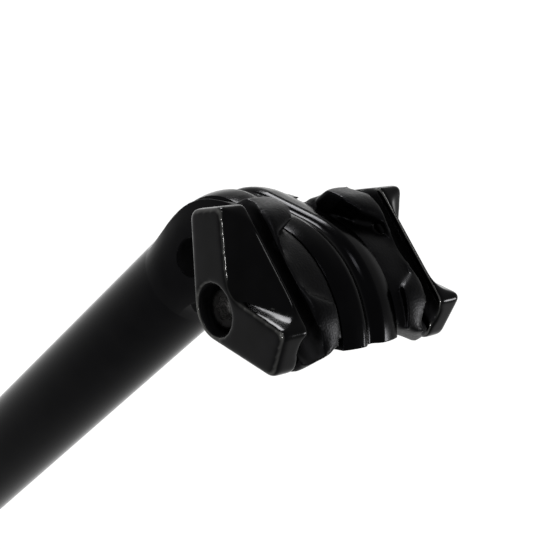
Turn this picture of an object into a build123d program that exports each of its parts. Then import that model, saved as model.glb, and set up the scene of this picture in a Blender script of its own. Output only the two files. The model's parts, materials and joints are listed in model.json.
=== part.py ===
"""Bicycle seatpost: set-back forged post with a side-bolted, tilting saddle-rail clamp.

Frame: the post's axis is Z, pointing up, and X points forward on the bicycle. The origin is the
middle of the post's lower end. Sizes are millimetres. The clamp is laid out in a side view whose
origin is the clamp bolt's axis, with distances measured towards the rear and up.
"""
import os
from math import atan2, cos, degrees, radians, sin, sqrt, tan

from build123d import *

os.makedirs("parts", exist_ok=True)

# Post
post_length = 350.0          # lower end to the middle of the saddle rails
tube_diameter = 27.2
tube_wall = 2.3
setback = 24.0               # bolt axis behind the post's axis
mouth_chamfer = 0.8          # at the mouth of the tube's bore
bore_end_gap = 6.0           # solid metal between the tube's bore and the neck

# Saddle rails
rail_diameter = 7.0
rail_spacing = 44.0          # between the middles of the two rails
rail_rise = 15.0             # rails' middle above the bolt axis
rail_clearance = 0.05

# Forged head
head_width = 20.0
crown_radius = 30.5          # convex top of the head, seen from the side
crown_rear = 3.9             # middle of that arc, behind the bolt axis
crown_drop = 10.9            # and below it
head_rear = 22.0             # rear edge of the head, behind the bolt axis
crown_front = 14.6           # the crown turns into the sloping brow this far ahead of the bolt axis
brow_length = 16.8
brow_radius = 20.0
brow_turn = 46.0             # the brow bends this far down towards the post, in degrees
band_depth = 5.0
band_sink = 3.5              # the ridged band reaches this far into the head's core
ridge_offset = 3.9           # each ridge's crest from the middle plane
ridge_rise = 1.2             # ridge crest above the head's side edges
valley_half_width = 1.8      # valley between the two ridges
valley_depth = 1.5
valley_edge = 0.7            # edge of the valley below the ridge crest
head_boss_radius = 11.5      # metal round the bolt hole

# Neck between the tube and the head
neck_drop = 34.0             # the neck meets the plain tube this far below the bolt axis
neck_fill = 0.8              # the head's core runs this far down the neck
core_overlap = 1.0           # and this far into its back
window_radius = 5.2          # cross hole that lightens the neck
window_drop = 16.5
window_ahead = 21.9
# Sections of the neck, from the tube up: height as a share of the neck's drop, how far the front and the
# back lean rearward, how far the sides draw in, and the sides' bulge as a share of the tube's
neck_sections = [
    (-1.0, 0.0, 0.0, 0.0, 1.0),
    (-0.65, 0.0, 1.0, 0.4, 0.7),
    (-0.36, 1.2, 4.5, 1.2, 0.4),
    (-0.12, 5.1, 8.0, 1.4, 0.2),
    (0.12, 12.2, 10.0, 1.4, 0.15),
]

# Clamp bolt, washer and nut
bolt_diameter = 6.0
bolt_hole_clearance = 0.3
thread_clearance = 0.05
bolt_head_diameter = 10.0
bolt_head_height = 6.0
bolt_head_chamfer = 0.6
socket_flats = 5.0
socket_depth = 3.2
washer_diameter = 11.8
washer_thickness = 1.0
nut_flats = 10.0
nut_height = 5.0
nut_clearance = 0.15
bolt_tip = 1.2               # bolt end beyond the nut

# Inner jaws
seat_gap = 0.1               # running gap between the head's sides and the inner jaws
tilt_gap = 0.6               # room round the inner jaws where they turn beside the neck
jaw_boss_radius = 11.0
lobe_inner_gap = 2.8         # rear lobe stands this far outside the head's side
front_lobe_reach = 15.2      # the front lobe meets the head's side from here forward
lobe_peak = 20.0             # lobe tops above the bolt axis
lobe_peak_reach = 11.5       # lobe tops ahead of and behind the bolt axis
rim_dip = 18.4               # saddle between the lobes
lobe_shoulder = 15.8
lobe_shoulder_reach = 19.6
lobe_tip_reach = 21.4
lobe_end = 10.6              # the lobes' tops fall towards this height
lobe_end_reach = 24.0        # this far ahead of and behind the bolt axis
waist_reach = 10.8           # scoop in the wall between the lobes
waist_floor_reach = 7.8      # straight stretch of the scoop
waist_wall = 1.5             # wall left between the scoop and the rail side
wall_round = 2.2             # corners of the lobed wall, seen from above
rim_reach = 1.3              # inner jaw's rim stops this far short of the rail's middle
lip_reach = 2.0              # lip under the rail goes this far past the rail's middle
lip_thickness = 5.4          # metal under the rail
lip_front_reach = 20.9       # front end of the lip, ahead of the bolt axis
lip_rear_reach = 22.3        # and its rear end, behind it
lip_slope = 16.0             # the underside climbs towards the head, in degrees
rim_round = 0.7              # top edges of the lobed wall
cap_overlap = 0.5            # the cap reaches this far into the wall
cap_front = 16.0             # front end of the cap, ahead of the bolt axis
cheek_radius = 24.4          # sloping cheek ahead of the front lobe, round the bolt axis
cheek_top = 146.0            # upper end of that arc, in degrees from the rear
cheek_low = 166.0
heel_reach = 19.0            # rear end of the cap at the head's side, behind the bolt axis
heel_rake = 68.0             # the rear end is cut slantwise, leaning back this steeply, in degrees
pocket_wall = 4.6            # inner jaw's wall behind the outer jaw's boss

# Outer jaws
jaw_gap = 0.4                # left between the inner and outer jaws to be taken up by the bolt
outer_bite = 1.1             # depth of the outer jaw's rail groove
face_out = 29.9              # outer jaw's front face from the middle plane, on the bolt axis
face_lean = 8.7              # that face leans out towards its top, in degrees
outer_boss_radius = 7.9
boss_inset = 0.6             # the boss behind the plate is this much smaller in radius
boss_overlap = 1.0           # and reaches this far into the plate
arm_low = 8.6                # lower corner of each arm above the bolt axis
arm_low_reach = 22.7
arm_low_round = 2.6
arm_top = 19.2
arm_top_reach = 17.0
arm_top_round = 1.6
hollow_bottom = 7.4          # lowest point of the hollow between the arms
hollow_mouth = 16.2          # half width of the hollow at the arms' tops, on the front face
hollow_floor = 13.2          # and on the rail side
hollow_wall = 0.9            # metal left between the hollow and the rail side
hollow_round = 6.0           # where the hollow's floor turns up into the arms
hollow_flare = 3.0           # the hollow's rim runs out this far over the front face
hollow_lift = 0.5            # and rises this far from it
ridge_round = 1.6            # ridge between the front face and the hollow, at the arms' tops
# Sections of the hollow, from its rounded point up: height, width and depth, as shares of those at the
# arms' tops
hollow_sections = [
    (0.09, 0.02, 0.02),
    (0.115, 0.10, 0.06),
    (0.155, 0.155, 0.13),
    (0.2, 0.2, 0.2),
    (1.3, 1.3, 1.3),
]
recess_diameter = 12.6
recess_depth = 10.6
jaw_edge_round = 1.1         # edges of the outer jaw's front face

# Places that follow from the sizes above
bolt_height = post_length - rail_rise
tube_radius = tube_diameter / 2
rail_out = rail_spacing / 2
rail_groove = rail_diameter / 2 + rail_clearance
head_half = head_width / 2
jaw_in = head_half + seat_gap
bolt_hole_radius = bolt_diameter / 2 + bolt_hole_clearance
outer_back = rail_out + rail_groove - outer_bite
lobe_in = head_half + lobe_inner_gap
rim_out = rail_out - rim_reach
lip_out = rail_out + lip_reach
scoop_out = rim_out - waist_wall
recess_floor = face_out - recess_depth
relief_radius = cheek_radius + tilt_gap
big = 4 * rail_spacing

# Side view (rearward, up), cross section (outward, up) and plan (rearward, outward, facing down)
side = Plane(origin=(-setback, 0, bolt_height), x_dir=(-1, 0, 0), z_dir=(0, 1, 0))
section = Plane(origin=(-setback, 0, bolt_height), x_dir=(0, 1, 0), z_dir=(1, 0, 0))
plan = Plane(origin=(-setback, 0, bolt_height), x_dir=(-1, 0, 0), z_dir=(0, 0, -1))


def crown_angle(reach, inset=0.0):
    """Angle on the crown's arc, in degrees, of the point this far behind the bolt axis."""
    run = reach - crown_rear
    return degrees(atan2(sqrt((crown_radius - inset) ** 2 - run ** 2), run))


def crown_point(angle, inset=0.0):
    """Point on the crown's arc in the side view, lowered by the inset."""
    radius = crown_radius - inset
    return (crown_rear + radius * cos(radians(angle)), radius * sin(radians(angle)) - crown_drop)


def round_point(angle, radius):
    """Point on a circle about the bolt axis, the angle being in degrees from the rear."""
    return (radius * cos(radians(angle)), radius * sin(radians(angle)))


def tangent_point(point, radius, turn):
    """Where a line from the point touches a circle about the bolt axis, turn being +1 or -1."""
    reach = sqrt(point[0] ** 2 + point[1] ** 2)
    angle = atan2(point[1], point[0]) + turn * atan2(sqrt(reach ** 2 - radius ** 2), radius)
    return (radius * cos(angle), radius * sin(angle))


def lower_point(start, end, radius):
    """Middle of the arc about the bolt axis that passes under it from one point to the other."""
    middle = atan2(start[1] + end[1], start[0] + end[0])
    return (radius * cos(middle), radius * sin(middle))


# Post: tube, neck and head are one forging
rear_angle = crown_angle(head_rear)
front_angle = crown_angle(-crown_front)
brow_start = crown_point(front_angle)
slope = (-sin(radians(front_angle)), cos(radians(front_angle)))
brow_end = (brow_start[0] + brow_length * slope[0], brow_start[1] + brow_length * slope[1])
brow_out = brow_start[0] * cos(radians(front_angle)) + brow_start[1] * sin(radians(front_angle))
brow_clear = brow_out - ridge_rise  # distance from the bolt axis to the line of the brow's side edges
neck_front = setback + tube_radius
neck_back = setback - tube_radius

tube_bulge = tube_radius * (1 - cos(radians(45)))

with BuildPart() as post:
    with BuildSketch(Plane.XY):
        Circle(tube_radius)
    extrude(amount=bolt_height - neck_drop)
    for share, front_lean, back_lean, draw_in, bulge_share in neck_sections:
        front = neck_front - front_lean
        back = neck_back - back_lean
        half_width = tube_radius - draw_in
        bulge = bulge_share * tube_bulge
        corner_front = (bulge - front, half_width - bulge)
        corner_back = (-bulge - back, half_width - bulge)
        corner_back_right = (corner_back[0], -corner_back[1])
        corner_front_right = (corner_front[0], -corner_front[1])
        middle = -(front + back) / 2
        with BuildSketch(plan.offset(-share * neck_drop)):
            with BuildLine():
                ThreePointArc(corner_front, (middle, half_width), corner_back)
                ThreePointArc(corner_back, (-back, 0), corner_back_right)
                ThreePointArc(corner_back_right, (middle, -half_width), corner_front_right)
                ThreePointArc(corner_front_right, (-front, 0), corner_front)
            make_face()
    loft()
    # Room for the inner jaws to turn beside the head
    for face in (1, -1):
        with BuildSketch(side.offset(face * head_half)):
            Circle(relief_radius)
        extrude(amount=face * head_half, mode=Mode.SUBTRACT)
    # Core of the head round the bolt hole
    core_rear = crown_point(rear_angle, band_sink)
    core_front = crown_point(front_angle, band_sink)
    under_rear = tangent_point(core_rear, head_boss_radius, -1)
    neck_meet = (-neck_back - core_overlap, -neck_drop * neck_fill)
    under_front = tangent_point(neck_meet, head_boss_radius, 1)
    with BuildSketch(side):
        with BuildLine():
            ThreePointArc(core_rear, crown_point(90, band_sink), core_front)
            Polyline(core_front, (-setback, 0), (-setback, neck_meet[1]), neck_meet, under_front)
            ThreePointArc(under_front, lower_point(under_front, under_rear, head_boss_radius), under_rear)
            Line(under_rear, core_rear)
        make_face()
    extrude(amount=head_half, both=True)
    # Ridged band over the crown and down the brow
    with BuildLine(side) as crown_path:
        CenterArc((crown_rear, -crown_drop), crown_radius, rear_angle, front_angle - rear_angle)
        brow_line = Line(brow_start, brow_end)
        JernArc(brow_end, brow_line % 1, brow_radius, brow_turn)
    band_plane = Plane(origin=crown_path.line @ 0, x_dir=(0, 1, 0), z_dir=crown_path.line % 0)
    with BuildSketch(band_plane):
        with BuildLine():
            valley_left = (-valley_half_width, -valley_edge)
            valley_right = (valley_half_width, -valley_edge)
            ThreePointArc(valley_left, (0, -valley_depth), valley_right)
            for turn, valley_side in ((1, valley_right), (-1, valley_left)):
                TangentArc((turn * ridge_offset, 0), valley_side, tangent=(-turn, 0))
                TangentArc((turn * ridge_offset, 0), (turn * head_half, -ridge_rise), tangent=(turn, 0))
            Polyline(
                (head_half, -ridge_rise),
                (head_half, -band_depth),
                (-head_half, -band_depth),
                (-head_half, -ridge_rise),
            )
        make_face()
    sweep(path=crown_path.line)
    # Bolt hole, cross window and the tube's bore
    with BuildSketch(side):
        Circle(bolt_hole_radius)
    extrude(amount=big, both=True, mode=Mode.SUBTRACT)
    with BuildSketch(side):
        with Locations((-window_ahead, -window_drop)):
            Circle(window_radius)
    extrude(amount=big, both=True, mode=Mode.SUBTRACT)
    with BuildSketch(Plane.XY):
        Circle(tube_radius - tube_wall)
    extrude(amount=bolt_height - neck_drop - bore_end_gap, mode=Mode.SUBTRACT)
    chamfer(post.faces().sort_by(Axis.Z)[0].inner_wires()[0].edges(), mouth_chamfer)

post.part.label = "post"
export_step(post.part, "parts/post.step")

# Inner jaws: a cap beside the head, two lobes, and a cradle for the rail
cap_rear = crown_point(crown_angle(head_rear, ridge_rise), ridge_rise)
cap_end = crown_point(crown_angle(-cap_front, ridge_rise), ridge_rise)
cheek_start = round_point(cheek_top, cheek_radius)
cheek_end = round_point(cheek_low, cheek_radius)
edge_start = round_point(cheek_top, brow_clear / cos(radians(cheek_top - front_angle)))
edge_end = round_point(cheek_low, brow_clear / cos(radians(cheek_low - front_angle)))
groove_bottom = rail_rise - rail_groove
lip_bottom = groove_bottom - lip_thickness
lip_rise = (rail_out - jaw_in) * tan(radians(lip_slope))
lip_fall = lip_reach * tan(radians(lip_slope))
boss_seat = jaw_in + pocket_wall
heel_top = crown_point(crown_angle(heel_reach, ridge_rise), ridge_rise)
heel = side.from_local_coords((heel_top[0], heel_top[1], jaw_in))
lip_corner = side.from_local_coords((lip_rear_reach, lip_bottom - lip_fall, lip_out))
heel_rise = Vector(-cos(radians(heel_rake)), 0, sin(radians(heel_rake)))
heel_plane = Plane(origin=heel, x_dir=lip_corner - heel, z_dir=heel_rise.cross(lip_corner - heel))

with BuildPart() as left_inner_jaw:
    # Lobed wall, seen from above
    with BuildSketch(plan) as wall_outline:
        with BuildLine():
            Polyline(
                (-lobe_tip_reach, jaw_in),
                (-front_lobe_reach, jaw_in),
                (-waist_reach, lobe_in),
                (-waist_floor_reach, scoop_out),
                (waist_floor_reach, scoop_out),
                (waist_reach, lobe_in),
                (lobe_tip_reach, lobe_in),
                (lobe_tip_reach, rim_out),
                (-lobe_tip_reach, rim_out),
                close=True,
            )
        make_face()
        fillet(wall_outline.vertices(), wall_round)
    extrude(amount=-big)
    # Its side outline: two lobes with a dip between them
    with BuildSketch(side):
        with BuildLine():
            lobe_line = Spline(
                (-lobe_end_reach, lobe_end),
                (-lobe_shoulder_reach, lobe_shoulder),
                (-lobe_peak_reach, lobe_peak),
                (0, rim_dip),
                (lobe_peak_reach, lobe_peak),
                (lobe_shoulder_reach, lobe_shoulder),
                (lobe_end_reach, lobe_end),
            )
            Polyline(lobe_line @ 1, (lobe_end_reach, 0), (-lobe_end_reach, 0), lobe_line @ 0)
        make_face()
    extrude(amount=big, mode=Mode.INTERSECT)
    fillet(left_inner_jaw.faces().filter_by(GeomType.EXTRUSION).edges(), rim_round)
    # Base under the rail, with its underside climbing towards the head
    with BuildSketch(plan):
        with Locations(((lip_rear_reach - lip_front_reach) / 2, (lobe_in + lip_out) / 2)):
            RectangleRounded(lip_rear_reach + lip_front_reach, lip_out - lobe_in, wall_round)
    extrude(amount=-rail_rise)
    with BuildSketch(section):
        with BuildLine():
            Polyline(
                (jaw_in, lip_bottom + lip_rise),
                (lip_out, lip_bottom - lip_fall),
                (lip_out, 0),
                (jaw_in, 0),
                close=True,
            )
        make_face()
    extrude(amount=big, both=True, mode=Mode.SUBTRACT)
    # Cap, level with the head's top, and the boss round the bolt
    boss_rear = tangent_point(cap_rear, jaw_boss_radius, -1)
    boss_front = tangent_point(cap_end, jaw_boss_radius, 1)
    with BuildSketch(side.offset(jaw_in)):
        with BuildLine():
            ThreePointArc(cap_rear, crown_point(90, ridge_rise), cap_end)
            Line(cap_end, boss_front)
            ThreePointArc(boss_front, lower_point(boss_front, boss_rear, jaw_boss_radius), boss_rear)
            Line(boss_rear, cap_rear)
        make_face()
    extrude(amount=scoop_out + cap_overlap - jaw_in)
    # Cheek ahead of the front lobe, which slopes down to the head's edge
    cheek_foot = tangent_point(cheek_end, jaw_boss_radius, 1)
    with BuildSketch(side.offset(jaw_in)):
        with BuildLine():
            Polyline(edge_start, edge_end, cheek_foot, (0, 0), close=True)
        make_face()
    with BuildSketch(side.offset(lobe_in + cap_overlap)):
        with BuildLine():
            ThreePointArc(cheek_start, round_point((cheek_top + cheek_low) / 2, cheek_radius), cheek_end)
            Polyline(cheek_end, cheek_foot, (0, 0), cheek_start)
        make_face()
    loft(ruled=True)
    # Heel: the rear end is cut back slantwise, so that the head's corner shows behind it
    split(bisect_by=heel_plane, keep=Keep.BOTTOM)
    # Pocket for the outer jaw's boss
    with BuildSketch(side.offset(boss_seat)):
        Circle(outer_boss_radius - boss_inset + jaw_gap)
    extrude(amount=big, mode=Mode.SUBTRACT)
    # Rail groove and bolt hole
    with BuildSketch(section):
        with Locations((rail_out, rail_rise)):
            Circle(rail_groove)
    extrude(amount=big, both=True, mode=Mode.SUBTRACT)
    with BuildSketch(side):
        Circle(bolt_hole_radius)
    extrude(amount=big, mode=Mode.SUBTRACT)

left_inner_jaw.part.label = "left_inner_jaw"
export_step(left_inner_jaw.part, "parts/left_inner_jaw.step")

with BuildPart() as right_inner_jaw:
    mirror(left_inner_jaw.part, about=Plane.XZ)

right_inner_jaw.part.label = "right_inner_jaw"
export_step(right_inner_jaw.part, "parts/right_inner_jaw.step")

# Outer jaws: a boss on the bolt with two arms that press the rail from outside
front_face = Plane(
    origin=side.from_local_coords((0, 0, face_out)),
    x_dir=(-1, 0, 0),
    z_dir=(0, cos(radians(face_lean)), -sin(radians(face_lean))),
)
boss_end = boss_seat + jaw_gap
arm_rear = tangent_point((arm_low_reach, arm_low), outer_boss_radius, -1)
arm_front = (-arm_rear[0], arm_rear[1])
lean_rate = tan(radians(face_lean))
hollow_depth = face_out + arm_top * lean_rate - outer_back - hollow_wall
hollow_outline = [
    (-hollow_mouth - hollow_flare, hollow_lift),
    (-hollow_mouth, 0),
    (-hollow_floor, -hollow_depth),
    (hollow_floor, -hollow_depth),
    (hollow_mouth, 0),
    (hollow_mouth + hollow_flare, hollow_lift),
]

with BuildPart() as outer_blank:
    with BuildSketch(side.offset(outer_back)) as plate:
        with BuildLine():
            Polyline(
                arm_rear,
                (arm_low_reach, arm_low),
                (arm_top_reach, arm_top),
                (-arm_top_reach, arm_top),
                (-arm_low_reach, arm_low),
                arm_front,
            )
            ThreePointArc(arm_front, (0, -outer_boss_radius), arm_rear)
        make_face()
        fillet(plate.vertices().sort_by(Axis.Y)[2:4], arm_low_round)
        fillet(plate.vertices().sort_by(Axis.Y)[-2:], arm_top_round)
    extrude(amount=big)
    split(bisect_by=front_face, keep=Keep.BOTTOM)
    face_axis = Axis(front_face.origin, front_face.z_dir)
    front = outer_blank.faces().filter_by(face_axis).sort_by(face_axis)[-1]
    fillet(front.outer_wire().edges(), jaw_edge_round)
    # Hollow between the arms: a wedge that widens from its point up to the arms' tops
    for rise, width, depth in hollow_sections:
        height = hollow_bottom + rise * (arm_top - hollow_bottom)
        face_here = face_out + height * lean_rate
        with BuildSketch(plan.offset(-height)) as hollow:
            with BuildLine():
                Polyline([(width * x, face_here + depth * y) for x, y in hollow_outline], close=True)
            make_face()
            fillet(hollow.vertices().sort_by(Axis.Y)[:2], depth * hollow_round)
            fillet(hollow.vertices().sort_by(Axis.Y)[-4:-2], depth * ridge_round)
    loft(ruled=True, mode=Mode.SUBTRACT)
    with BuildSketch(side.offset(boss_end)):
        Circle(outer_boss_radius - boss_inset)
    extrude(amount=outer_back - boss_end + boss_overlap)
    with BuildSketch(section):
        with Locations((rail_out, rail_rise)):
            Circle(rail_groove)
    extrude(amount=big, both=True, mode=Mode.SUBTRACT)
    with BuildSketch(side):
        Circle(bolt_hole_radius)
    extrude(amount=big, mode=Mode.SUBTRACT)

with BuildPart() as left_outer_jaw:
    add(outer_blank.part)
    with BuildSketch(side.offset(recess_floor)):
        Circle(recess_diameter / 2)
    extrude(amount=big, mode=Mode.SUBTRACT)

left_outer_jaw.part.label = "left_outer_jaw"
export_step(left_outer_jaw.part, "parts/left_outer_jaw.step")

with BuildPart() as right_outer_jaw:
    mirror(outer_blank.part, about=Plane.XZ)
    with BuildSketch(side.offset(-recess_floor)):
        RegularPolygon(nut_flats / 2 + nut_clearance, 6, major_radius=False)
    extrude(amount=-big, mode=Mode.SUBTRACT)

right_outer_jaw.part.label = "right_outer_jaw"
export_step(right_outer_jaw.part, "parts/right_outer_jaw.step")

# Clamp bolt with its washer and nut
head_seat = recess_floor + washer_thickness
head_end = head_seat + bolt_head_height
nut_seat = -recess_floor

with BuildPart() as clamp_bolt:
    with BuildSketch(side.offset(head_seat)):
        Circle(bolt_head_diameter / 2)
    extrude(amount=bolt_head_height)
    chamfer(clamp_bolt.faces().sort_by(Axis.Y)[-1].outer_wire().edges(), bolt_head_chamfer)
    with BuildSketch(side.offset(head_seat)):
        Circle(bolt_diameter / 2)
    extrude(amount=nut_seat - nut_height - bolt_tip - head_seat)
    with BuildSketch(side.offset(head_end)):
        RegularPolygon(socket_flats / 2, 6, major_radius=False)
    extrude(amount=-socket_depth, mode=Mode.SUBTRACT)

clamp_bolt.part.label = "clamp_bolt"
export_step(clamp_bolt.part, "parts/clamp_bolt.step")

with BuildPart() as bolt_washer:
    with BuildSketch(side.offset(recess_floor)):
        Circle(washer_diameter / 2)
        Circle(bolt_hole_radius, mode=Mode.SUBTRACT)
    extrude(amount=washer_thickness)

bolt_washer.part.label = "bolt_washer"
export_step(bolt_washer.part, "parts/bolt_washer.step")

with BuildPart() as clamp_nut:
    with BuildSketch(side.offset(nut_seat)):
        RegularPolygon(nut_flats / 2, 6, major_radius=False)
        Circle(bolt_diameter / 2 + thread_clearance, mode=Mode.SUBTRACT)
    extrude(amount=-nut_height)

clamp_nut.part.label = "clamp_nut"
export_step(clamp_nut.part, "parts/clamp_nut.step")
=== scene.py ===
import json
import math

import bmesh
import bpy
from mathutils import Matrix, Vector


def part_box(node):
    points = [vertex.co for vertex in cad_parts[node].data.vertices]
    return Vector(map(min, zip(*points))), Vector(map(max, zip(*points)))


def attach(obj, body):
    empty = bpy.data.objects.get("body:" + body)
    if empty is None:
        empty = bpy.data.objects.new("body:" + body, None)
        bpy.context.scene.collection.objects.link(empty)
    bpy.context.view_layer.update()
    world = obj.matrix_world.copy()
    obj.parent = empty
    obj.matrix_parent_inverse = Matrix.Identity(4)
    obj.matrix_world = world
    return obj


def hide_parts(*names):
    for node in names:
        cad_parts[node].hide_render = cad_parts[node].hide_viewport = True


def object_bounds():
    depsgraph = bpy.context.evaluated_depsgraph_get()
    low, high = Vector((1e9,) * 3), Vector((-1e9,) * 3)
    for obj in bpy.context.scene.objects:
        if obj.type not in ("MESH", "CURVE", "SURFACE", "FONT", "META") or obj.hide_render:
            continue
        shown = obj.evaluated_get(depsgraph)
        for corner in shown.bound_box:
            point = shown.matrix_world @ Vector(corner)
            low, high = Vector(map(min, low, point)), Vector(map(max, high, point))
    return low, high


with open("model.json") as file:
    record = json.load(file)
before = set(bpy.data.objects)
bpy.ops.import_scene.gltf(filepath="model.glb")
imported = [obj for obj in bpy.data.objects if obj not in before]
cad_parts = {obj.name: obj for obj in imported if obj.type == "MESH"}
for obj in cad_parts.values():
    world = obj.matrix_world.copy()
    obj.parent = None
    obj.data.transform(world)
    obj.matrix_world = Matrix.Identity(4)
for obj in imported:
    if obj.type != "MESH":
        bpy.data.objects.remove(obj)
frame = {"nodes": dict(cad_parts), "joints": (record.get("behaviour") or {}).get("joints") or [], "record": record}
cadLow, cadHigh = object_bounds()
mm = 0.001
nodes = frame["nodes"]
boltAxis = Vector(frame["joints"][0]["pos_m"])  # middle of the clamp bolt, which runs across the bicycle
rails = [mount for mount in frame["record"]["mounts"] if mount["kind"] == "clamp"]
waveRepeat = math.tau / 20  # a wave texture of scale 1 repeats at this distance
noiseRange = {"From Min": 0.3, "From Max": 0.7}     # most of a noise texture's values lie in here
crispRange = {"From Min": 0.35, "From Max": 0.65}   # the same, for patches with a crisper edge
smoothBelow = math.radians(32)  # facets of one curved face meet below this angle
print("frame loaded with", len(nodes), "CAD nodes")


def linear(hexCode):
    # sRGB hex to linear RGBA
    shares = [int(hexCode[i:i + 2], 16) / 255 for i in (1, 3, 5)]
    return [c / 12.92 if c <= 0.04045 else ((c + 0.055) / 1.055) ** 2.4 for c in shares] + [1.0]


def addNode(tree, kind, inputs=None, **settings):
    # one node with its settings, its values and its links
    node = tree.nodes.new(kind)
    for name, value in settings.items():
        setattr(node, name, value)
    for name, value in (inputs or {}).items():
        if isinstance(value, bpy.types.NodeSocket):
            tree.links.new(value, node.inputs[name])
        else:
            node.inputs[name].default_value = value
    return node


def newMaterial(name):
    material = bpy.data.materials.new(name)
    material.use_nodes = True
    material.node_tree.nodes.clear()
    return material, material.node_tree


def perMetre(sizeMm):
    # a texture's scale for features of this size
    return 1 / (sizeMm * mm)


def roughRange(finish):
    # smoothest and roughest places of a finish
    return finish["roughness"] - finish["roughSpread"], finish["roughness"] + finish["roughSpread"]


# Bores and rail grooves: aluminium milled before it was black anodised; feed marks make them rougher.
# Their colour is painted lighter than the dye around them, a painted light that lifts these hollows out of shade,
# so they stay dull dark grey, not black.
boreFinishPaintedLift = {
    "dark": "#161617",
    "pale": "#242425",
    "roughness": 0.62,
    "roughSpread": 0.1,
    "feedMm": 0.4,          # feed marks, coarser than the real 0.1 mm to show
    "feedLongMm": 4.0,
    "feedDepthMm": 0.01,
}


def closeSurface(tree, shader, finish):
    # mixes the milled surface, painted lighter as a painted light, in where a mesh marks its bores, and links the
    # output
    place = addNode(tree, "ShaderNodeTexCoord").outputs["Object"]
    stretch = finish["feedMm"] / finish["feedLongMm"]
    around = addNode(tree, "ShaderNodeMapping", {
        "Vector": place, "Scale": (stretch, 1, stretch)}).outputs["Vector"]
    feed = addNode(tree, "ShaderNodeTexNoise", {
        "Vector": around, "Scale": perMetre(finish["feedMm"]), "Detail": 2.0}).outputs["Fac"]
    colour = addNode(tree, "ShaderNodeMix", {
        "Factor": feed, 6: linear(finish["dark"]), 7: linear(finish["pale"])},
        data_type="RGBA").outputs[2]
    low, high = roughRange(finish)
    rough = addNode(tree, "ShaderNodeMapRange", {
        "Value": feed, **noiseRange, "To Min": low, "To Max": high}).outputs["Result"]
    marks = addNode(tree, "ShaderNodeBump", {
        "Height": feed, "Distance": finish["feedDepthMm"] * mm}).outputs["Normal"]
    milledAndLifted = addNode(tree, "ShaderNodeBsdfPrincipled", {
        "Base Color": colour, "Metallic": 1.0, "Roughness": rough, "Normal": marks})
    share = addNode(tree, "ShaderNodeAttribute", attribute_name="milledAndLiftedShare").outputs["Fac"]
    mixed = addNode(tree, "ShaderNodeMixShader", {
        0: share, 1: shader.outputs["BSDF"], 2: milledAndLifted.outputs["BSDF"]})
    addNode(tree, "ShaderNodeOutputMaterial", {"Surface": mixed.outputs["Shader"]})


# Post: forged and drawn aluminium, satin black anodised.
# The dyed oxide is nearly black with a soft sheen: long streaks along the ridges and the tube.
postFinish = {
    "dark": "#080809",
    "pale": "#0e0e0f",      # dye takes a little unevenly
    "slant": "#dcdcdc",     # share of light that the dye leaves at a slant
    "roughness": 0.17,
    "roughSpread": 0.03,
    "blotchMm": 7.0,        # patches of slightly different dye
    "grainMm": 0.35,        # etched grain, drawn coarser than the real 0.05 mm to show
    "grainDepthMm": 0.001,
    "drawLineMm": 0.5,      # lines left by drawing the tube, coarser than real to show
    "drawLineLongMm": 60.0,
    "drawLineDepthMm": 0.001,
    "edgeMm": 0.5,          # broken edges
    "edgeSamples": 8,
}


def anodisedForging(finish):
    material, tree = newMaterial("aluminium_forged_black_anodised")
    place = addNode(tree, "ShaderNodeTexCoord").outputs["Object"]
    blotch = addNode(tree, "ShaderNodeTexNoise", {
        "Vector": place, "Scale": perMetre(finish["blotchMm"]), "Detail": 3.0}).outputs["Fac"]
    grain = addNode(tree, "ShaderNodeTexNoise", {
        "Vector": place, "Scale": perMetre(finish["grainMm"]), "Detail": 2.0}).outputs["Fac"]
    stretch = finish["drawLineMm"] / finish["drawLineLongMm"]
    along = addNode(tree, "ShaderNodeMapping", {
        "Vector": place, "Scale": (1, 1, stretch)}).outputs["Vector"]
    lines = addNode(tree, "ShaderNodeTexNoise", {
        "Vector": along, "Scale": perMetre(finish["drawLineMm"]), "Detail": 2.0}).outputs["Fac"]
    colour = addNode(tree, "ShaderNodeMix", {
        "Factor": blotch, 6: linear(finish["dark"]), 7: linear(finish["pale"])},
        data_type="RGBA").outputs[2]
    low, high = roughRange(finish)
    rough = addNode(tree, "ShaderNodeMapRange", {
        "Value": lines, **noiseRange, "To Min": low, "To Max": high}).outputs["Result"]
    edge = addNode(tree, "ShaderNodeBevel", {
        "Radius": finish["edgeMm"] * mm}, samples=finish["edgeSamples"]).outputs["Normal"]
    drawn = addNode(tree, "ShaderNodeBump", {
        "Height": lines, "Distance": finish["drawLineDepthMm"] * mm, "Normal": edge}).outputs["Normal"]
    etched = addNode(tree, "ShaderNodeBump", {
        "Height": grain, "Distance": finish["grainDepthMm"] * mm, "Normal": drawn}).outputs["Normal"]
    shader = addNode(tree, "ShaderNodeBsdfPrincipled", {
        "Base Color": colour, "Metallic": 1.0, "Roughness": rough, "Normal": etched,
        "Specular Tint": linear(finish["slant"])})
    closeSurface(tree, shader, boreFinishPaintedLift)
    return material


# Inner jaws: forged aluminium, bead blasted and black anodised.
# The blasting leaves fine dimples, so light spreads wide and bright facets look slightly grainy.
innerFinish = {
    "dark": "#09090a",
    "pale": "#121213",
    "slant": "#e4e4e4",     # share of light that the dye leaves at a slant
    "roughness": 0.36,
    "roughSpread": 0.08,
    "blotchMm": 4.0,
    "beadMm": 0.55,         # dimples, drawn coarser than the real 0.1 mm to show
    "beadDepthMm": 0.035,
    "beadReach": 0.8,       # from a dimple's middle to its rim, in dimple widths
}


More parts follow.
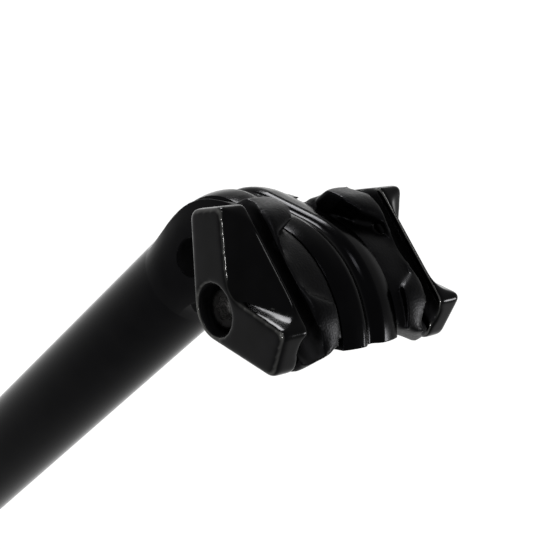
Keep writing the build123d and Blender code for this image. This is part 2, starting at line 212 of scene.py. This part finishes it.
def blastedJaw(finish):
    material, tree = newMaterial("aluminium_blasted_black_anodised")
    place = addNode(tree, "ShaderNodeTexCoord").outputs["Object"]
    blotch = addNode(tree, "ShaderNodeTexNoise", {
        "Vector": place, "Scale": perMetre(finish["blotchMm"]), "Detail": 4.0}).outputs["Fac"]
    bead = addNode(tree, "ShaderNodeTexVoronoi", {
        "Vector": place, "Scale": perMetre(finish["beadMm"])}, feature="SMOOTH_F1").outputs["Distance"]
    colour = addNode(tree, "ShaderNodeMix", {
        "Factor": blotch, 6: linear(finish["dark"]), 7: linear(finish["pale"])},
        data_type="RGBA").outputs[2]
    low, high = roughRange(finish)
    rough = addNode(tree, "ShaderNodeMapRange", {
        "Value": bead, "From Max": finish["beadReach"], "To Min": high, "To Max": low}).outputs["Result"]
    dimples = addNode(tree, "ShaderNodeBump", {
        "Height": bead, "Distance": finish["beadDepthMm"] * mm}).outputs["Normal"]
    shader = addNode(tree, "ShaderNodeBsdfPrincipled", {
        "Base Color": colour, "Metallic": 1.0, "Roughness": rough, "Normal": dimples,
        "Specular Tint": linear(finish["slant"])})
    closeSurface(tree, shader, boreFinishPaintedLift)
    return material


# Outer jaws: forged aluminium, tumbled to a polish and black anodised.
# Nearly a mirror: crisp reflections, slight waviness and faint hairlines; sharp edges get a painted highlight.
outerFinish = {
    "dark": "#0b0b0b",
    "pale": "#141415",
    "slant": "#e4e4e4",     # share of light that the dye leaves at a slant
    "paintedPale": "#686866",    # painted highlight on sharp edges, standing in for glints of light
    "highlightFrom": 0.51,     # pointiness where the painted edge highlight starts, and where it is full
    "highlightFull": 0.545,
    "highlightSideFrom": 0.55,    # only edges that face this far sideways get the painted highlight
    "highlightSideFull": 0.85,
    "roughness": 0.15,
    "roughSpread": 0.04,
    "waveMm": 6.0,          # forging's waviness under the polish
    "waveDepthMm": 0.02,
    "hairlineMm": 0.6,      # tumbling marks, coarser than real to show
    "hairlineLongMm": 9.0,
    "hairlineLean": 35,     # degrees
}


def polishedJaw(finish):
    material, tree = newMaterial("aluminium_polished_black_anodised")
    place = addNode(tree, "ShaderNodeTexCoord").outputs["Object"]
    wave = addNode(tree, "ShaderNodeTexNoise", {
        "Vector": place, "Scale": perMetre(finish["waveMm"]), "Detail": 1.0}).outputs["Fac"]
    stretch = finish["hairlineMm"] / finish["hairlineLongMm"]
    across = addNode(tree, "ShaderNodeMapping", {
        "Vector": place, "Rotation": (0, math.radians(finish["hairlineLean"]), 0),
        "Scale": (1, 1, stretch)}).outputs["Vector"]
    hairline = addNode(tree, "ShaderNodeTexNoise", {
        "Vector": across, "Scale": perMetre(finish["hairlineMm"]), "Detail": 3.0}).outputs["Fac"]
    dye = addNode(tree, "ShaderNodeMix", {
        "Factor": wave, 6: linear(finish["dark"]), 7: linear(finish["pale"])},
        data_type="RGBA").outputs[2]
    # painted highlight: sharp edges that face sideways are painted pale, standing in for glints of light
    sharpness = addNode(tree, "ShaderNodeNewGeometry").outputs["Pointiness"]
    edge = addNode(tree, "ShaderNodeMapRange", {
        "Value": sharpness, "From Min": finish["highlightFrom"],
        "From Max": finish["highlightFull"]}).outputs["Result"]
    facing = addNode(tree, "ShaderNodeTexCoord").outputs["Normal"]
    sideways = addNode(tree, "ShaderNodeSeparateXYZ", {"Vector": facing}).outputs["Y"]
    eitherSide = addNode(tree, "ShaderNodeMath", {0: sideways}, operation="ABSOLUTE").outputs[0]
    outward = addNode(tree, "ShaderNodeMapRange", {
        "Value": eitherSide, "From Min": finish["highlightSideFrom"],
        "From Max": finish["highlightSideFull"]}).outputs["Result"]
    paintedHighlight = addNode(tree, "ShaderNodeMath", {0: edge, 1: outward}, operation="MULTIPLY").outputs[0]
    colour = addNode(tree, "ShaderNodeMix", {
        "Factor": paintedHighlight, 6: dye, 7: linear(finish["paintedPale"])}, data_type="RGBA").outputs[2]
    low, high = roughRange(finish)
    rough = addNode(tree, "ShaderNodeMapRange", {
        "Value": hairline, **crispRange, "To Min": low, "To Max": high}).outputs["Result"]
    wavy = addNode(tree, "ShaderNodeBump", {
        "Height": wave, "Distance": finish["waveDepthMm"] * mm}).outputs["Normal"]
    shader = addNode(tree, "ShaderNodeBsdfPrincipled", {
        "Base Color": colour, "Metallic": 1.0, "Roughness": rough, "Normal": wavy,
        "Specular Tint": linear(finish["slant"])})
    closeSurface(tree, shader, boreFinishPaintedLift)
    return material


# Bolt, washer and nut: steel, turned or stamped, with black oxide.
# The oxide is dull and slightly mottled, with fine turning marks that catch the light.
steelFinish = {
    "dark": "#0c0c0c",
    "pale": "#1a1919",
    "roughness": 0.4,
    "roughSpread": 0.1,
    "mottleMm": 1.2,
    "turnMm": 0.35,         # turning marks, coarser than real to show
    "turnDepthMm": 0.006,
    "turnWander": 0.6,      # how far the marks stray from true rings
}


def oxidedSteel(finish):
    material, tree = newMaterial("steel_turned_black_oxide")
    place = addNode(tree, "ShaderNodeTexCoord").outputs["Object"]
    mottle = addNode(tree, "ShaderNodeTexNoise", {
        "Vector": place, "Scale": perMetre(finish["mottleMm"]), "Detail": 5.0}).outputs["Fac"]
    centred = addNode(tree, "ShaderNodeMapping", {
        "Vector": place, "Location": -boltAxis}).outputs["Vector"]
    turn = addNode(tree, "ShaderNodeTexWave", {
        "Vector": centred, "Scale": waveRepeat * perMetre(finish["turnMm"]),
        "Distortion": finish["turnWander"], "Detail": 2.0},
        wave_type="RINGS", rings_direction="Y").outputs["Fac"]
    colour = addNode(tree, "ShaderNodeMix", {
        "Factor": mottle, 6: linear(finish["dark"]), 7: linear(finish["pale"])},
        data_type="RGBA").outputs[2]
    low, high = roughRange(finish)
    rough = addNode(tree, "ShaderNodeMapRange", {
        "Value": mottle, **noiseRange, "To Min": low, "To Max": high}).outputs["Result"]
    turned = addNode(tree, "ShaderNodeBump", {
        "Height": turn, "Distance": finish["turnDepthMm"] * mm}).outputs["Normal"]
    shader = addNode(tree, "ShaderNodeBsdfPrincipled", {
        "Base Color": colour, "Metallic": 1.0, "Roughness": rough, "Normal": turned})
    addNode(tree, "ShaderNodeOutputMaterial", {"Surface": shader.outputs["BSDF"]})
    return material


# Bolt's socket: steel broached to a hexagon, with torn and speckled metal.
# Its colour is painted pale, a painted light that lifts it out of the dark recess's shade, so it shows pale and
# grainy there.
socketFinish = {
    "dark": "#4c4c4b",
    "pale": "#858483",
    "roughness": 0.55,
    "roughSpread": 0.12,
    "speckMm": 0.5,
    "tearMm": 0.3,          # broaching tears, coarser than real to show
    "tearDepthMm": 0.03,
}


def broachedSocket(finish):
    material, tree = newMaterial("steel_broached_painted_pale")
    place = addNode(tree, "ShaderNodeTexCoord").outputs["Object"]
    speck = addNode(tree, "ShaderNodeTexNoise", {
        "Vector": place, "Scale": perMetre(finish["speckMm"]), "Detail": 4.0}).outputs["Fac"]
    tear = addNode(tree, "ShaderNodeTexNoise", {
        "Vector": place, "Scale": perMetre(finish["tearMm"]), "Detail": 2.0}).outputs["Fac"]
    sharp = addNode(tree, "ShaderNodeMapRange", {"Value": speck, **crispRange}).outputs["Result"]
    # colour painted pale, a painted light lifting the socket out of the recess's shade
    colour = addNode(tree, "ShaderNodeMix", {
        "Factor": sharp, 6: linear(finish["dark"]), 7: linear(finish["pale"])},
        data_type="RGBA").outputs[2]
    low, high = roughRange(finish)
    rough = addNode(tree, "ShaderNodeMapRange", {
        "Value": speck, **noiseRange, "To Min": high, "To Max": low}).outputs["Result"]
    torn = addNode(tree, "ShaderNodeBump", {
        "Height": tear, "Distance": finish["tearDepthMm"] * mm}).outputs["Normal"]
    shader = addNode(tree, "ShaderNodeBsdfPrincipled", {
        "Base Color": colour, "Metallic": 1.0, "Roughness": rough, "Normal": torn})
    addNode(tree, "ShaderNodeOutputMaterial", {"Surface": shader.outputs["BSDF"]})
    return material


forging = anodisedForging(postFinish)
blasted = blastedJaw(innerFinish)
polished = polishedJaw(outerFinish)
oxide = oxidedSteel(steelFinish)
paintedPale = broachedSocket(socketFinish)
print("materials made")

# Bores that were milled, as radii, and how their surface runs out
milling = {
    "boltMm": 6.35,         # takes in the bolt's hole and its head's recess
    "windowMm": 5.25,       # cross window through the neck
    "windowAt": (-0.0021, 0.3185),  # its middle, along the bicycle and up, in metres
    "blendMm": 0.3,         # width over which a milled surface runs out
    "faceShare": 0.5,       # a face of the post is milled if all its corners are past this
}
# each bore: the two axes across it, its middle and its radius
boltBore = ((0, 2), (boltAxis.x, boltAxis.z), milling["boltMm"] * mm)
windowBore = ((0, 2), milling["windowAt"], milling["windowMm"] * mm)
railBores = [((1, 2), rail["pos_m"][1:], rail["dims"]["r_mm"] * mm) for rail in rails]


def boreShare(point, bores):
    # 1 inside a bore, running out to 0 just outside
    beyond = min(math.hypot(point[first] - middle[0], point[second] - middle[1]) - radius
                 for (first, second), middle, radius in bores)
    return min(max(1 - beyond / (milling["blendMm"] * mm), 0), 1)


def finishPost():
    mesh = nodes["post"].data
    mesh.materials.clear()
    mesh.materials.append(forging)
    # marks the bores, where the milled finish and its painted light go
    marks = mesh.attributes.new("milledAndLiftedShare", "FLOAT", "FACE")
    for face in mesh.polygons:
        shares = [boreShare(mesh.vertices[i].co, [boltBore, windowBore]) for i in face.vertices]
        marks.data[face.index].value = float(min(shares) > milling["faceShare"])
    mesh.shade_smooth()
    mesh.set_sharp_from_angle(angle=smoothBelow)


finishPost()
print("post finished")

# Jaws as they leave the dies and the tumbler: the CAD bodies with their free edges rolled over
rolling = {
    "voxelMm": 0.35,
    # rounds of smoothing: on every face, on all but mating ones, on free ones
    "innerRounds": (3, 25, 60),
    "outerRounds": (24, 0, 0),
    "smoothing": 0.5,       # how far each round moves a point
    "matingShare": 0.8,     # faces turned this far towards the middle touch another piece
}


def rolledJaw(node, rounds, material):
    bores = [boltBore] + railBores
    jaw = bpy.data.objects.new(node + "Rolled", nodes[node].data.copy())
    bpy.context.scene.collection.objects.link(jaw)
    voxels = jaw.modifiers.new("voxels", "REMESH")
    voxels.mode = "VOXEL"
    voxels.voxel_size = rolling["voxelMm"] * mm
    remeshed = jaw.evaluated_get(bpy.context.evaluated_depsgraph_get())
    mesh = bpy.data.meshes.new_from_object(remeshed)
    jaw.modifiers.clear()
    jaw.data = mesh
    shape = bmesh.new()
    shape.from_mesh(mesh)
    shape.normal_update()
    outward = [v for v in shape.verts
               if v.normal.y * math.copysign(1, v.co.y) > -rolling["matingShare"]]
    free = [v for v in outward if boreShare(v.co, bores) == 0]
    for verts, count in zip((shape.verts[:], outward, free), rounds):
        for lap in range(count):
            bmesh.ops.smooth_vert(
                shape, verts=verts, factor=rolling["smoothing"],
                use_axis_x=True, use_axis_y=True, use_axis_z=True)
    shape.to_mesh(mesh)
    shape.free()
    mesh.materials.clear()
    mesh.materials.append(material)
    # marks the bores, where the milled finish and its painted light go
    marks = mesh.attributes.new("milledAndLiftedShare", "FLOAT", "POINT")
    for v in mesh.vertices:
        marks.data[v.index].value = boreShare(v.co, bores)
    mesh.shade_smooth()
    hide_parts(node)
    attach(jaw, "clamp")
    print(node, "rolled,", len(mesh.polygons), "faces")


for side in ("left", "right"):
    rolledJaw(side + "_inner_jaw", rolling["innerRounds"], blasted)
    rolledJaw(side + "_outer_jaw", rolling["outerRounds"], polished)

ringPoints = 96  # points round each turned piece
cornerShare = 0.3  # a rounded corner's middle ring lies in from both faces by this share of its size


def roundRing(radius, along):
    return [(radius, along)] * ringPoints


def hexRing(flats, along, most=math.inf):
    # corners point forward and to the rear; a cone or bore can cut them off at a radius
    ring = []
    for i in range(ringPoints):
        turn = math.tau * i / ringPoints % math.radians(60)
        ring.append((min(flats / 2 / math.cos(turn - math.radians(30)), most), along))
    return ring


def turnedPiece(name, node, rings, closed, materials, innerBands=0):
    # rings about the bolt's axis, joined in order; the last joins the first, or flat ends close it
    # the first bands between them, innerBands in all, take the second material
    shape = bmesh.new()
    loops = []
    for ring in rings:
        loop = []
        for i, (radius, along) in enumerate(ring):
            turn = math.tau * i / ringPoints
            offset = Vector((radius * math.cos(turn), along, radius * math.sin(turn))) * mm
            loop.append(shape.verts.new(boltAxis + offset))
        loops.append(loop)
    pairs = list(zip(loops, loops[1:]))
    if closed:
        pairs.append((loops[-1], loops[0]))
    else:
        shape.faces.new(loops[0]).material_index = int(innerBands > 0)
        shape.faces.new(loops[-1])
    for order, (first, second) in enumerate(pairs):
        for i in range(ringPoints):
            face = shape.faces.new((first[i], first[i - 1], second[i - 1], second[i]))
            face.material_index = int(order < innerBands)
    bmesh.ops.recalc_face_normals(shape, faces=shape.faces)
    mesh = bpy.data.meshes.new(name)
    shape.to_mesh(mesh)
    shape.free()
    for material in materials:
        mesh.materials.append(material)
    mesh.shade_smooth()
    mesh.set_sharp_from_angle(angle=smoothBelow)
    piece = bpy.data.objects.new(name, mesh)
    bpy.context.scene.collection.objects.link(piece)
    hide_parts(node)
    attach(piece, "clamp")


# Socket-head bolt with a rolled thread at its tip
bolt = {
    "headMm": 6.0,          # height
    "chamferMm": 0.6,
    "socketFlatsMm": 5.0,
    "socketDeepMm": 3.2,
    "socketMouthMm": 3.1,   # radius of the chamfer at the socket's mouth
    "drillMm": 4.2,         # drilled before broaching
    "drillPointMm": 0.7,
    "drillFlatMm": 0.1,     # across the drill point's end
    "shankMm": 6.0,
    "neckRoundMm": 0.3,
    "pitchMm": 1.0,
    "threadDeepMm": 0.55,
    "threadLongMm": 14.0,
    "stepsPerTurn": 10,
    "tipMm": 0.7,           # chamfer
}


def threadRing(radius, along):
    # the groove's depth follows the turn, so it winds round the shank
    ring = []
    for i in range(ringPoints):
        share = (along / bolt["pitchMm"] - i / ringPoints) % 1
        ring.append((radius - bolt["threadDeepMm"] * (1 - abs(2 * share - 1)), along))
    return ring


def socketBolt():
    low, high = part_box("clamp_bolt")
    top, tip = high.y / mm, low.y / mm
    head = (high.x - low.x) / 2 / mm
    shank = bolt["shankMm"] / 2
    floor = top - bolt["socketDeepMm"]
    seat = top - bolt["headMm"]
    cut = bolt["chamferMm"]
    threadStart = tip + bolt["threadLongMm"]
    rings = [
        roundRing(bolt["drillFlatMm"] / 2, floor - bolt["drillPointMm"]),
        roundRing(bolt["drillMm"] / 2, floor),
        hexRing(bolt["socketFlatsMm"], floor),
        hexRing(bolt["socketFlatsMm"], top - cut / 2),
        roundRing(bolt["socketMouthMm"], top),
    ]
    socketBands = len(rings) - 2  # up to the chamfer at the mouth
    rings += [
        roundRing(head - cut, top),
        roundRing(head - cut * cornerShare, top - cut * cornerShare),
        roundRing(head, top - cut),
        roundRing(head, seat),
        roundRing(shank + bolt["neckRoundMm"], seat),
        roundRing(shank, seat - bolt["neckRoundMm"]),
        roundRing(shank, threadStart),
    ]
    step = bolt["pitchMm"] / bolt["stepsPerTurn"]
    steps = int((bolt["threadLongMm"] - bolt["tipMm"]) / step)
    rings += [threadRing(shank, threadStart - i * step) for i in range(1, steps)]
    rings += [
        roundRing(shank - bolt["threadDeepMm"], tip + bolt["tipMm"] / 2),
        roundRing(shank - bolt["tipMm"], tip),
    ]
    turnedPiece("socketBolt", "clamp_bolt", rings, False, [oxide, paintedPale], socketBands)


# Stamped washer: rolled over on the punched side
washer = {
    "holeMm": 6.6,
    "rollMm": 0.3,
}


def stampedWasher():
    low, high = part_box("bolt_washer")
    inner, outer = low.y / mm, high.y / mm
    rim = (high.x - low.x) / 2 / mm
    hole = washer["holeMm"] / 2
    roll = washer["rollMm"]
    rings = [
        roundRing(hole, inner),
        roundRing(hole, outer - roll),
        roundRing(hole + roll, outer),
        roundRing(rim - roll, outer),
        roundRing(rim - roll * cornerShare, outer - roll * cornerShare),
        roundRing(rim, outer - roll),
        roundRing(rim, inner),
    ]
    turnedPiece("stampedWasher", "bolt_washer", rings, True, [oxide])


# Hexagon nut, its corners chamfered on both sides and its thread countersunk
nut = {
    "faceMm": 9.6,          # round face left by the chamfer
    "chamferMm": 0.55,
    "boreMm": 6.1,
    "sinkMm": 0.4,
}


def hexNut():
    low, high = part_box("clamp_nut")
    inner, outer = high.y / mm, low.y / mm
    flats = (high.z - low.z) / mm
    face = nut["faceMm"] / 2
    corner = (high.x - low.x) / 2 / mm
    bore = nut["boreMm"] / 2
    cut, sink = nut["chamferMm"], nut["sinkMm"]
    rings = [
        roundRing(bore, inner - sink),
        roundRing(bore + sink, inner),
        roundRing(face, inner),
        hexRing(flats, inner - cut / 2, (face + corner) / 2),
        hexRing(flats, inner - cut),
        hexRing(flats, outer + cut),
        hexRing(flats, outer + cut / 2, (face + corner) / 2),
        roundRing(face, outer),
        roundRing(bore + sink, outer),
        roundRing(bore, outer + sink),
    ]
    turnedPiece("hexNut", "clamp_nut", rings, True, [oxide])


socketBolt()
stampedWasher()
hexNut()
print("bolt, washer and nut built")


# Studio: pale floor, white surroundings and soft lamps
studio = {
    "floorHalf": 10.0,       # metres from the middle to an edge
    "floorColour": "#f4f4f2",
    "whiteShare": 0.85,      # how far the floor is lifted to white where it is seen or mirrored
    "fill": 0.65,            # strength of the white surroundings as a light
    "lamps": {
        # direction from the clamp, distance in metres, width and height in metres, watts
        "frontSoftbox": ((0.93, -0.2, 0.28), 1.2, (0.36, 0.42), 24.0),
        "rightSoftbox": ((0.66, -0.74, -0.08), 1.2, (0.3, 0.15), 0.4),
        "rearSoftbox": ((-0.49, -0.8, 0.34), 1.2, (0.22, 0.22), 6.0),
        "topSoftbox": ((0.34, 0.42, 0.84), 1.2, (0.25, 0.25), 3.0),
        "leftSpot": ((-0.43, 0.85, 0.16), 1.2, (0.1, 0.1), 3.5),
    },
}


def whiteWhereSeen(tree, share):
    # camera, glossy and transmission rays see white, up to this share
    path = addNode(tree, "ShaderNodeLightPath").outputs
    mirrored = addNode(tree, "ShaderNodeMath", {
        0: path["Is Camera Ray"], 1: path["Is Glossy Ray"]}, operation="MAXIMUM").outputs[0]
    seen = addNode(tree, "ShaderNodeMath", {
        0: mirrored, 1: path["Is Transmission Ray"]}, operation="MAXIMUM").outputs[0]
    return addNode(tree, "ShaderNodeMath", {0: seen, 1: share}, operation="MULTIPLY").outputs[0]


def paleFloor():
    material, tree = newMaterial("floor_matt_white_paper")
    matt = addNode(tree, "ShaderNodeBsdfDiffuse", {"Color": linear(studio["floorColour"])})
    white = addNode(tree, "ShaderNodeEmission", {"Strength": 1.0})
    mixed = addNode(tree, "ShaderNodeMixShader", {
        0: whiteWhereSeen(tree, studio["whiteShare"]), 1: matt.outputs[0], 2: white.outputs[0]})
    addNode(tree, "ShaderNodeOutputMaterial", {"Surface": mixed.outputs[0]})
    half = studio["floorHalf"]
    mesh = bpy.data.meshes.new("floor")
    corners = [(x * half, y * half, cadLow.z) for x, y in ((-1, -1), (1, -1), (1, 1), (-1, 1))]
    mesh.from_pydata(corners, [], [(0, 1, 2, 3)])
    mesh.materials.append(material)
    floor = bpy.data.objects.new("floor", mesh)
    bpy.context.scene.collection.objects.link(floor)


def whiteWorld():
    world = bpy.data.worlds.new("studio_white")
    bpy.context.scene.world = world
    world.use_nodes = True
    tree = world.node_tree
    tree.nodes.clear()
    fill = addNode(tree, "ShaderNodeBackground", {"Color": (1, 1, 1, 1), "Strength": studio["fill"]})
    addNode(tree, "ShaderNodeOutputWorld", {"Surface": fill.outputs[0]})


def addLamp(name, direction, distance, size, watts):
    light = bpy.data.lights.new(name, "AREA")
    light.shape = "RECTANGLE"
    light.size, light.size_y = size
    light.energy = watts
    lamp = bpy.data.objects.new(name, light)
    towards = Vector(direction).normalized()
    lamp.location = boltAxis + towards * distance
    lamp.rotation_mode = "QUATERNION"
    lamp.rotation_quaternion = (-towards).to_track_quat("-Z", "Y")
    bpy.context.scene.collection.objects.link(lamp)


paleFloor()
whiteWorld()
for name, values in studio["lamps"].items():
    addLamp(name, *values)
print("studio built with", len(studio["lamps"]), "lamps")


# Camera, from above on the left and rolled, as the photograph was taken
view = {
    "lens": 85.2,           # millimetres
    "place": (-0.1065, 0.2342, 0.5452),  # metres, as is the aim
    "aim": (-0.0173, 0.0039, 0.3336),
    "roll": 49.0,           # degrees
    "clipStart": 0.01,      # metres
}


def addCamera():
    data = bpy.data.cameras.new("photoCamera")
    data.lens = view["lens"]
    data.clip_start = view["clipStart"]
    camera = bpy.data.objects.new("photoCamera", data)
    place = Vector(view["place"])
    look = (Vector(view["aim"]) - place).to_track_quat("-Z", "Y").to_matrix().to_4x4()
    roll = Matrix.Rotation(math.radians(view["roll"]), 4, "Z")
    camera.matrix_world = Matrix.Translation(place) @ look @ roll
    bpy.context.scene.collection.objects.link(camera)
    bpy.context.scene.camera = camera


addCamera()
bpy.context.scene.view_settings.view_transform = "Standard"
print("camera set")
